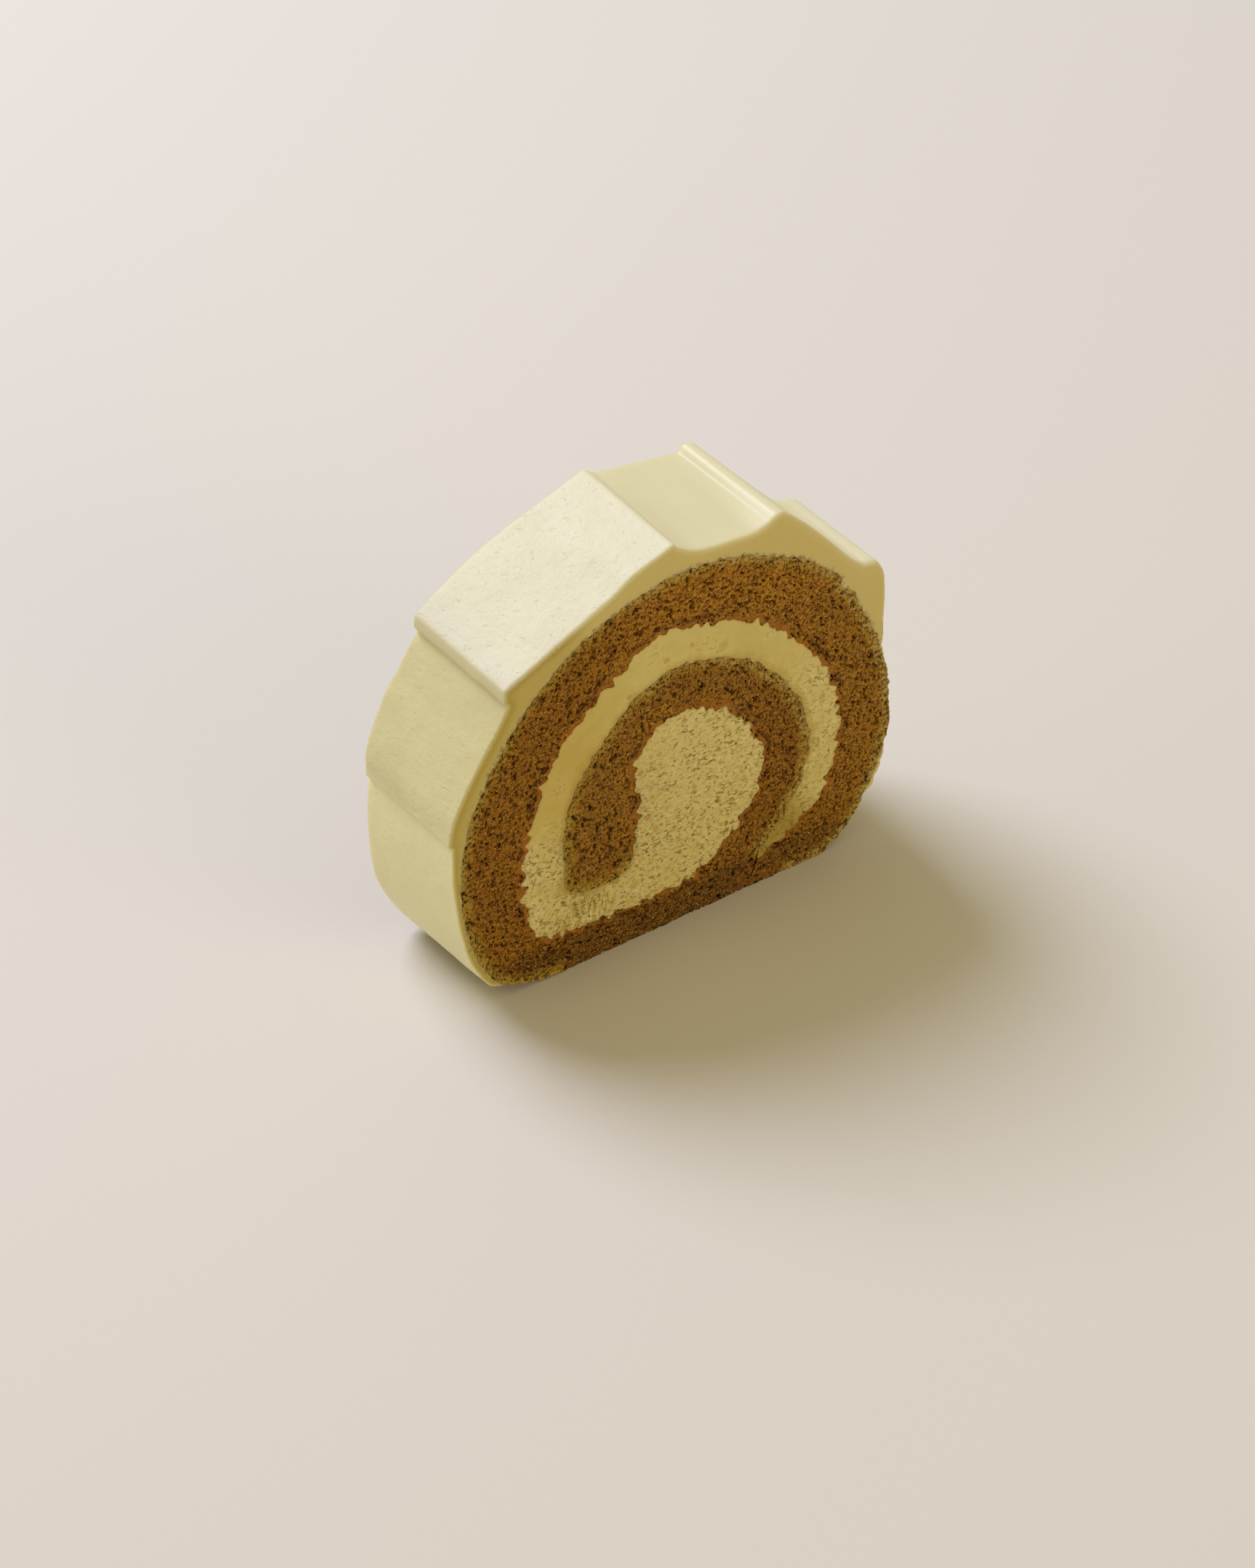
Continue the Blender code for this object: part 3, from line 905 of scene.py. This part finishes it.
class Recipe:
    """A finish: a material and the short words that build its nodes."""

    def __init__(self, name):
        self.material = bpy.data.materials.new(name)
        self.material.use_nodes = True
        self.tree = self.material.node_tree
        self.surface = self.tree.nodes["Principled BSDF"]
        self.place = self.add("ShaderNodeTexCoord").outputs["Object"]

    def add(self, kind, settings=None, sockets=None):
        return add_node(self.tree, kind, settings, sockets)

    def sum(self, operation, a, b):
        node = self.add("ShaderNodeMath", {"operation": operation}, {0: a, 1: b})
        return Amount(self, node.outputs[0])

    def at_least(self, value, floor):
        return self.sum("MAXIMUM", value, floor)

    def at_most(self, value, ceiling):
        return self.sum("MINIMUM", value, ceiling)

    def grown(self, name, vector=False):
        """A value that the mesh carries."""
        node = self.add("ShaderNodeAttribute", {"attribute_name": name})
        return node.outputs["Vector"] if vector else Amount(self, node.outputs["Fac"])

    def stretched(self, where, scale):
        node = self.add("ShaderNodeMapping", None, {"Vector": where, "Scale": scale})
        return node.outputs["Vector"]

    def noise(self, where, scale, detail=2.0, roughness=0.5, distortion=0.0):
        node = self.add("ShaderNodeTexNoise", None, {
            "Vector": where, "Scale": scale, "Detail": detail, "Roughness": roughness,
            "Distortion": distortion})
        return Amount(self, node.outputs["Fac"])

    def mix(self, share, plain, other, way="MIX"):
        node = self.add("ShaderNodeMix", {"data_type": "RGBA", "blend_type": way},
                        {0: share, 6: plain, 7: other})
        return node.outputs[2]

    def paint(self, share, colour):
        """Lays a colour over the finish so far, where share is one."""
        self.colour = self.mix(share, self.colour, colour)

    def shade(self, share, amount):
        """Multiplies the finish so far by an amount, where share is one."""
        self.colour = self.mix(share, self.colour, amount, "MULTIPLY")

    def bump(self, height, distance, strength):
        sockets = {"Height": height, "Distance": distance, "Strength": strength}
        return self.add("ShaderNodeBump", None, sockets).outputs["Normal"]

    def finish(self, **sockets):
        for name, value in sockets.items():
            feed(self.tree, self.surface.inputs[name.replace("_", " ")], value)
        return self.material


def rise(value, low, high):
    """Nought below low, one above high and smooth between; low may be above high."""
    node = value.recipe.add("ShaderNodeMapRange", {"interpolation_type": "SMOOTHSTEP"},
                            {"Value": value, "From Min": low, "From Max": high})
    return Amount(value.recipe, node.outputs["Result"])


def crumb_finish():
    """Brown open crumb, with a baked skin on one side and soaked crumb on the other."""
    recipe = Recipe("sponge_crumb")
    place = recipe.place
    from_skin, from_edge, pore, inner, browned, height_up, across = map(recipe.grown, (
        "from_skin", "from_edge", "pore", "inner_turn", "browned", "height", "across"))

    crumb = recipe.noise(place, 1500.0, 3.0, 0.62, 0.3)
    grains = recipe.noise(place, 4200.0, 2.0, 0.6)
    patches = recipe.noise(place, 170.0, 2.0, 0.5)
    ragged = recipe.noise(place, 1000.0, 3.0, 0.65)

    recipe.colour = recipe.mix(rise(crumb + grains.swing(0.5), 0.36, 0.64),
                               (0.164, 0.064, 0.0017), (0.402, 0.188, 0.0086))
    recipe.paint(rise(grains + crumb.swing(0.5), 0.54, 0.68) * 0.8, (0.50, 0.280, 0.030))
    recipe.paint(rise(patches, 0.38, 0.66) * 0.30, (0.34, 0.162, 0.011))
    on_left = rise(across + patches.swing(10.0), 0.0, -24.0)
    recipe.shade(on_left * (1 - inner), (0.87, 0.80, 0.40))
    on_top = rise(height_up + patches.swing(10.0), 57.0, 66.0)
    recipe.shade(on_top * (1 - on_left), (1.16, 1.14, 1.05))
    on_right = inner * rise(across + patches.swing(6.0), 14.0, 20.0)
    recipe.shade(on_right, (0.94, 0.88, 0.66))
    greyer = inner * rise(from_skin + patches.swing(4.0), 1.2, 5.0)
    recipe.shade(greyer * 0.85, (0.86, 0.87, 1.40))
    # Darker towards the foot: partly the bottom layer's own darker crumb, partly painted shade
    # where little light reaches the foot of the cut.
    lower = rise(height_up + patches.swing(4.0), 9.0, 5.5)
    recipe.shade(lower, (0.62, 0.61, 0.80))

    edge_place = from_edge + patches.swing(2.2) + ragged.swing(2.4)
    soaked = rise(edge_place, 3.0, 0.9)
    recipe.paint(soaked * (0.65 + inner * 0.10), (0.39, 0.250, 0.020))
    creamy = rise(crumb, 0.47, 0.55) * rise(edge_place, 2.1, 0.6)
    recipe.paint(creamy * 0.75, recipe.mix(on_left, (0.50, 0.395, 0.16), (0.42, 0.300, 0.055)))
    # Dark blots all over, much darker near the torn edge: there they are partly crumb smeared
    # dark and partly painted shade standing for small cavities.
    blot = rise(recipe.noise(place, 520.0, 2.0, 0.6), 0.47, 0.36)
    by_edge = rise(edge_place, 2.6, 0.9) * (1 - inner * 0.7)
    recipe.shade(blot * by_edge * 0.85, (0.46, 0.42, 0.42))
    recipe.shade(blot * 0.45, (0.66, 0.60, 0.55))
    blurred = rise(from_edge + ragged.swing(1.0) + patches.swing(0.8), 0.60, 0.05)
    recipe.paint(blurred * 0.55, (0.44, 0.335, 0.085))
    skin = rise(from_skin + ragged.swing(1.1) + patches.swing(1.4), 1.10, 0.65)
    skin = recipe.at_least(skin, rise(browned + ragged.swing(1.6), 0.35, 0.60))
    recipe.paint(skin * (1 - lower * 0.5) * 0.85, (0.36, 0.142, 0.014))
    # Dark cavities just behind the skin: painted shade of hollows that the mesh does not have.
    cavity_shade = rise(from_skin + ragged.swing(1.4), 2.05, 1.45)
    cavity_shade = cavity_shade * (1 - skin) * rise(patches, 0.48, 0.60)

    # Pores and pits are painted darker, darkest at their middles: painted shade in the hollows,
    # over the dents that the pores have in the mesh.
    pit = rise(crumb + grains.swing(0.3), 0.44, 0.33) * (1 - skin * 0.8)
    hole = rise(pore + ragged.swing(1.5), 0.12, 0.52)
    hollow_shade = recipe.at_most(hole + pit * 0.7 + cavity_shade * 0.9, 1.0)
    recipe.shade(hollow_shade, (0.42, 0.35, 0.30))
    deep = rise(pore + ragged.swing(1.0), 0.42, 0.74)
    recipe.shade(deep * 0.9, (0.30, 0.26, 0.26))
    glint = rise(recipe.noise(place, 3000.0, 1.0, 0.5), 0.66, 0.72)
    recipe.paint(glint * 0.6, (0.64, 0.42, 0.09))

    height = crumb * 0.9 + grains * 0.35 - pit * 0.3 - hole * 0.3 + skin * 0.10
    normal = recipe.bump(height, 0.00050, 1.0)
    return recipe.finish(Base_Color=recipe.colour, Roughness=0.74 - glint * 0.35, Normal=normal,
                         Specular_IOR_Level=0.25)


def filling_finish():
    """Pale whipped cream, yellower where the sponge has soaked it."""
    recipe = Recipe("filling_cream")
    place = recipe.place
    from_sponge, from_soft, torn, streak, pit, across = map(recipe.grown, (
        "from_sponge", "from_soft", "torn", "streak", "pit", "across"))
    drag = recipe.stretched(recipe.grown("drag", True), (1.0, 0.35, 1.0))

    clouds = recipe.noise(place, 190.0, 3.0, 0.55)
    fine = recipe.noise(place, 1300.0, 3.0, 0.62, 0.3)
    drawn = recipe.noise(drag, 1.7, 3.0, 0.62, 0.3)
    strands = recipe.noise(recipe.stretched(drag, (1.0, 0.45, 1.0)), 1.9, 2.0, 0.55)
    slits = recipe.noise(recipe.stretched(place, (0.75, 1.0, 1.35)), 1250.0, 2.0, 0.55, 0.5)
    lumps = drawn * 0.55 + fine * 0.45
    # The cream's smooth colour is darker and yellower than the coat's: partly its own tint,
    # partly painted shade and painted yellow bounce light on the cut face.
    recipe.colour = recipe.mix(rise(clouds, 0.35, 0.65), (0.565, 0.475, 0.155),
                               (0.605, 0.520, 0.190))
    stain = rise(recipe.noise(place, 130.0, 2.0, 0.5, 0.6), 0.60, 0.72)
    recipe.paint(stain * 0.45, (0.53, 0.43, 0.105))
    recipe.paint(torn * 0.85, (0.775, 0.674, 0.312))
    # Torn lumps are painted lighter on their tops and darker between them: painted highlight
    # and painted shade following the bump.
    recipe.paint(torn * rise(lumps, 0.52, 0.60) * 0.6, (0.88, 0.79, 0.42))
    recipe.shade(torn * rise(lumps, 0.46, 0.36) * 0.6, (0.78, 0.71, 0.42))
    # Slits in the torn cream are painted darker: painted shade in them, over their bump.
    holed = torn + rise(clouds, 0.52, 0.66) * 0.5
    slit = recipe.at_most(holed, 1.0) * rise(slits + clouds.swing(0.2), 0.585, 0.640)
    recipe.shade(slit, (0.60, 0.53, 0.24))
    # The drawn strands are painted darker in their grooves and lighter on their ridges: painted
    # shade and painted highlight along their bump.
    recipe.shade(streak * rise(strands, 0.50, 0.40), (0.72, 0.65, 0.34))
    recipe.paint(streak * rise(strands, 0.52, 0.60) * 0.7, (0.86, 0.77, 0.42))
    fringe = rise(from_soft + clouds.swing(2.6) + fine.swing(1.0), 1.7, 0.1)
    recipe.paint(fringe * 0.60, (0.45, 0.33, 0.070))
    rim = rise(from_sponge + fine.swing(0.6), 0.40, 0.05)
    recipe.paint(rim * 0.35, (0.45, 0.28, 0.07))
    # Pits are painted darker and yellower: painted shade in the pits that the mesh has.
    recipe.shade(pit * 0.8, (0.78, 0.70, 0.34))
    fleck = rise(recipe.grown("fleck") + fine.swing(1.2), 0.35, 0.65)
    recipe.paint(fleck * 0.65, (0.50, 0.27, 0.05))
    on_left = rise(across + clouds.swing(8.0), -8.0, -20.0)
    recipe.shade(on_left * (1 - torn), (0.92, 0.86, 0.68))
    recipe.paint(recipe.grown("wedge") * 0.85, (0.375, 0.272, 0.030))
    olive = rise(recipe.grown("olive") + fine.swing(1.2), 0.30, 0.80)
    recipe.paint(olive * 0.55, (0.44, 0.37, 0.055))

    height = torn * (drawn * 0.7 + fine * 0.7 - slit * 0.8) + fine * 0.12
    height = height + streak * strands * 0.8
    normal = recipe.bump(height, 0.00070, 1.0)
    return recipe.finish(Base_Color=recipe.colour, Roughness=0.55, Normal=normal,
                         Subsurface_Weight=0.2, Subsurface_Scale=0.002,
                         Subsurface_Radius=(1.0, 0.75, 0.4), Specular_IOR_Level=0.4)


def coat_finish():
    """Knife-spread icing: whiter and grainier on the big flat, wetter on the ridges."""
    recipe = Recipe("icing_cream")
    place = recipe.place
    white, shine, grainy, on_cut, from_cake, from_rim, across = map(recipe.grown, (
        "white", "shine", "grainy", "on_cut", "from_cake", "from_rim", "across"))

    clouds = recipe.noise(place, 90.0, 3.0, 0.5)
    fine = recipe.noise(place, 1700.0, 4.0, 0.68, 0.2)
    dabs = recipe.noise(recipe.stretched(place, (1.0, 0.6, 1.0)), 1150.0, 2.0, 0.5)
    streaks = recipe.noise(recipe.stretched(place, (1.0, 0.06, 1.0)), 700.0, 2.0, 0.5)
    recipe.colour = recipe.mix(rise(clouds, 0.3, 0.7), (0.710, 0.648, 0.345),
                               (0.742, 0.685, 0.378))
    recipe.paint(white, (0.825, 0.822, 0.750))
    on_left = rise(across + clouds.swing(4.0), -16.0, -26.0)
    # The cut faces get a darker, yellower copy of the icing's colour: painted shade and painted
    # yellow bounce light, as the cut faces away from the main light.
    shaded_left_cut_colour = recipe.mix(rise(from_rim + clouds.swing(1.2), 0.3, 2.6),
                           (0.400, 0.312, 0.042), (0.485, 0.390, 0.105))
    shaded_cut_colour = recipe.mix(on_left, (0.560, 0.475, 0.172), shaded_left_cut_colour)
    # The flank's upper stroke is painted a little darker and its lower stroke lighter and
    # yellower: painted shade above and painted warm bounce light below.
    flank = rise(across, -30.0, -35.5)
    lower = rise(recipe.grown("height"), 40.5, 37.5)
    recipe.shade(flank * (1 - lower), (0.955, 0.945, 1.0))
    recipe.shade(flank * lower, (1.075, 1.06, 0.93))
    # Next to the rim less of the shaded colour is laid, so the rim stays lighter: a painted
    # highlight on the rounded edge, with painted shade further in.
    shade_past_rim = rise(from_rim, 0.0, 0.9) * 0.45 + 0.52
    recipe.paint(on_cut * shade_past_rim, shaded_cut_colour)
    near_cake = from_cake + fine.swing(2.4) + clouds.swing(1.6)
    smear = on_cut * rise(near_cake, 0.9, 0.2)
    recipe.paint(smear * 0.5, (0.50, 0.43, 0.23))
    # Dark brown next to the cake: partly crumb smeared into the icing, partly painted shade of
    # the gaps between coat and sponge.
    crumb_and_gap_shade = on_cut * rise(near_cake + dabs.swing(3.0), 0.45, -0.25)
    recipe.paint(crumb_and_gap_shade * 0.65, (0.25, 0.17, 0.05))
    # Dents are painted a little darker: painted shade in them, over their bump.
    dent = rise(dabs, 0.37, 0.27)
    recipe.shade(dent * grainy * 0.3, (0.90, 0.87, 0.74))

    height = grainy * (fine * 0.75 + dabs * 0.30 - dent * 0.35) + streaks * 0.12
    normal = recipe.bump(height, 0.00020, 0.8)
    return recipe.finish(Base_Color=recipe.colour, Roughness=0.60 - shine * 0.27, Normal=normal,
                         Subsurface_Weight=0.2, Subsurface_Scale=0.003,
                         Subsurface_Radius=(1.0, 0.8, 0.5), Specular_IOR_Level=0.45)


def loose_crumb_finish():
    recipe = Recipe("loose_crumb")
    tone = recipe.noise(recipe.place, 420.0, 2.0, 0.5)
    colour = recipe.mix(rise(tone, 0.3, 0.7), (0.24, 0.105, 0.010), (0.47, 0.26, 0.045))
    return recipe.finish(Base_Color=colour, Roughness=0.75, Specular_IOR_Level=0.35)


# Loose crumbs, sown over the cut sponge by a node group.

CRUMB_DENSITY = 5.0e5
CRUMB_SMALLEST = 0.00009
CRUMB_LARGEST = 0.00026
CRUMB_LUMPS = 1.3
CRUMB_PULL = 1.6
FULL_TURN = 6.28
FACES_THE_CUT = 0.45


def crumb_sowing(material):
    """A node group that sows uneven crumbs over the faces that it is given."""
    group = bpy.data.node_groups.new("crumb_sowing", "GeometryNodeTree")
    face = group.interface
    face.new_socket("Geometry", in_out="INPUT", socket_type="NodeSocketGeometry")
    inputs = {}
    for label, value in (("Crumbs per square metre", CRUMB_DENSITY),
                         ("Smallest radius", CRUMB_SMALLEST),
                         ("Largest radius", CRUMB_LARGEST)):
        socket = face.new_socket(label, in_out="INPUT", socket_type="NodeSocketFloat")
        inputs[label] = (socket.identifier, value)
    face.new_socket("Geometry", in_out="OUTPUT", socket_type="NodeSocketGeometry")

    def add(kind, settings=None, sockets=None):
        return add_node(group, kind, settings, sockets)

    given = add("NodeGroupInput")
    sown = add("GeometryNodeDistributePointsOnFaces", {"distribute_method": "RANDOM"}, {
        "Mesh": given.outputs["Geometry"],
        "Density": given.outputs["Crumbs per square metre"], "Seed": 31})
    ball = add("GeometryNodeMeshIcoSphere", None, {"Subdivisions": 1, "Radius": 1.0})
    lumps = add("ShaderNodeTexNoise", None, {"Scale": CRUMB_LUMPS})
    pull = add("ShaderNodeVectorMath", {"operation": "MULTIPLY_ADD"}, {
        0: lumps.outputs["Color"], 1: (CRUMB_PULL,) * 3, 2: (-CRUMB_PULL / 2,) * 3})
    shaped = add("GeometryNodeSetPosition", None, {
        "Geometry": ball.outputs["Mesh"], "Offset": pull.outputs[0]})
    size = add("FunctionNodeRandomValue", {"data_type": "FLOAT"}, {
        2: given.outputs["Smallest radius"], 3: given.outputs["Largest radius"], "Seed": 32})
    turn = add("FunctionNodeRandomValue", {"data_type": "FLOAT_VECTOR"}, {
        "Max": (FULL_TURN,) * 3, "Seed": 33})
    placed = add("GeometryNodeInstanceOnPoints", None, {
        "Points": sown.outputs["Points"], "Instance": shaped.outputs["Geometry"],
        "Rotation": turn.outputs["Value"], "Scale": size.outputs[1]})
    real = add("GeometryNodeRealizeInstances", None, {
        "Geometry": placed.outputs["Instances"]})
    painted = add("GeometryNodeSetMaterial", None, {
        "Geometry": real.outputs["Geometry"], "Material": material})
    add("NodeGroupOutput", None, {"Geometry": painted.outputs["Geometry"]})
    return group, inputs


def trim_to_cut(mesh):
    """The knife and the table leave no crumb standing proud of the slice."""
    corners = read(mesh.vertices, "co", 3)
    reach = SLICE_THICKNESS / 2 * METRES
    corners[:, 1] = np.clip(corners[:, 1], -reach, reach)
    corners[:, 2] = np.maximum(corners[:, 2], 0.0)
    mesh.vertices.foreach_set("co", corners.ravel())
    mesh.update()


def sow_crumbs(sponge, material):
    """Crumbs over the open crumb of the sponge, as one plain mesh."""
    source = sponge.data
    heights = read(source.polygons, "center", 3)[:, 2]
    facing = np.abs(read(source.polygons, "normal", 3)[:, 1])
    on_cut = (facing > FACES_THE_CUT) & (heights > CRUMB_LARGEST)
    corners = read(source.loops, "vertex_index", 1, np.int32).reshape(-1, 3)
    bed = bpy.data.meshes.new("crumb_bed")
    bed.from_pydata(read(source.vertices, "co", 3).tolist(), [], corners[on_cut].tolist())
    carrier = put("crumb_bed", bed)
    group, inputs = crumb_sowing(material)
    sowing = carrier.modifiers.new("crumb_sowing", "NODES")
    sowing.node_group = group
    for identifier, value in inputs.values():
        sowing[identifier] = value
    bpy.context.view_layer.update()
    seen = carrier.evaluated_get(bpy.context.evaluated_depsgraph_get())
    mesh = bpy.data.meshes.new_from_object(seen)
    mesh.name = "loose_crumb"
    mesh.materials.clear()
    mesh.materials.append(material)
    mesh.polygons.foreach_set("material_index", np.zeros(len(mesh.polygons), dtype=np.int32))
    trim_to_cut(mesh)
    crumbs = put("loose_crumb", mesh)
    bpy.data.objects.remove(carrier, do_unlink=True)
    return crumbs


# Table, light and camera

CAMERA_PLACE = (-0.39462, -0.54889, 0.54755)
CAMERA_TURN = (math.radians(52.187), 0.0, math.radians(-35.614))
PICTURE_HEIGHT = 2156
FOCAL_LENGTH_IN_PIXELS = 6460.0
SENSOR = 36.0
TABLE_HALF = 3.0
TABLE_GAP = 0.00005
CAKE_MIDDLE = (0.0, 0.0, 0.04)


def table_finish():
    recipe = Recipe("pale_table")
    fibre = recipe.noise(recipe.place, 900.0, 3.0, 0.6)
    colour = recipe.mix(fibre, (0.705, 0.675, 0.655), (0.725, 0.695, 0.675))
    return recipe.finish(Base_Color=colour, Roughness=0.85, Specular_IOR_Level=0.2)


def lay_table():
    half = TABLE_HALF
    mesh = bpy.data.meshes.new("table")
    mesh.from_pydata([(-half, -half, 0), (half, -half, 0), (half, half, 0), (-half, half, 0)],
                     [], [(0, 1, 2, 3)])
    mesh.materials.append(table_finish())
    table = put("table", mesh)
    table.location.z = -TABLE_GAP


def hang_light(name, place, aim, size, power, colour):
    light = bpy.data.lights.new(name, "AREA")
    light.shape = "DISK"
    light.size = size
    light.energy = power
    light.color = colour
    lamp = put(name, light)
    lamp.location = place
    lamp.rotation_euler = (Vector(aim) - Vector(place)).to_track_quat("-Z", "Y").to_euler()


def set_light():
    hang_light("window", (-0.28, 1.10, 1.33), CAKE_MIDDLE, 1.0, 22.0, (1.0, 1.03, 1.24))
    hang_light("left_bounce", (-1.30, 0.35, 0.25), CAKE_MIDDLE, 0.8, 1.6, (1.0, 0.95, 0.66))
    hang_light("front_bounce", (0.25, -1.05, 0.28), CAKE_MIDDLE, 0.7, 3.5, (1.0, 0.72, 0.38))
    world = bpy.data.worlds.new("room")
    world.use_nodes = True
    background = world.node_tree.nodes["Background"]
    background.inputs["Color"].default_value = (1.0, 0.90, 0.54, 1.0)
    background.inputs["Strength"].default_value = 0.43
    bpy.context.scene.world = world
    bpy.context.scene.view_settings.view_transform = "Standard"


def set_camera():
    lens = bpy.data.cameras.new("camera")
    lens.sensor_width = SENSOR
    lens.lens = FOCAL_LENGTH_IN_PIXELS / PICTURE_HEIGHT * SENSOR
    camera = put("camera", lens)
    camera.location = CAMERA_PLACE
    camera.rotation_euler = CAMERA_TURN
    bpy.context.scene.camera = camera


def dress():
    sponge = make_sponge()
    filling = make_filling()
    coat = make_coat()
    for piece, material, node in ((sponge, crumb_finish(), "sponge"),
                                  (filling, filling_finish(), "filling"),
                                  (coat, coat_finish(), "icing")):
        piece.data.materials.append(material)
        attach(piece, "root")
        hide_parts(node)
    crumbs = sow_crumbs(sponge, loose_crumb_finish())
    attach(crumbs, "root")


dress()
lay_table()
set_light()
set_camera()
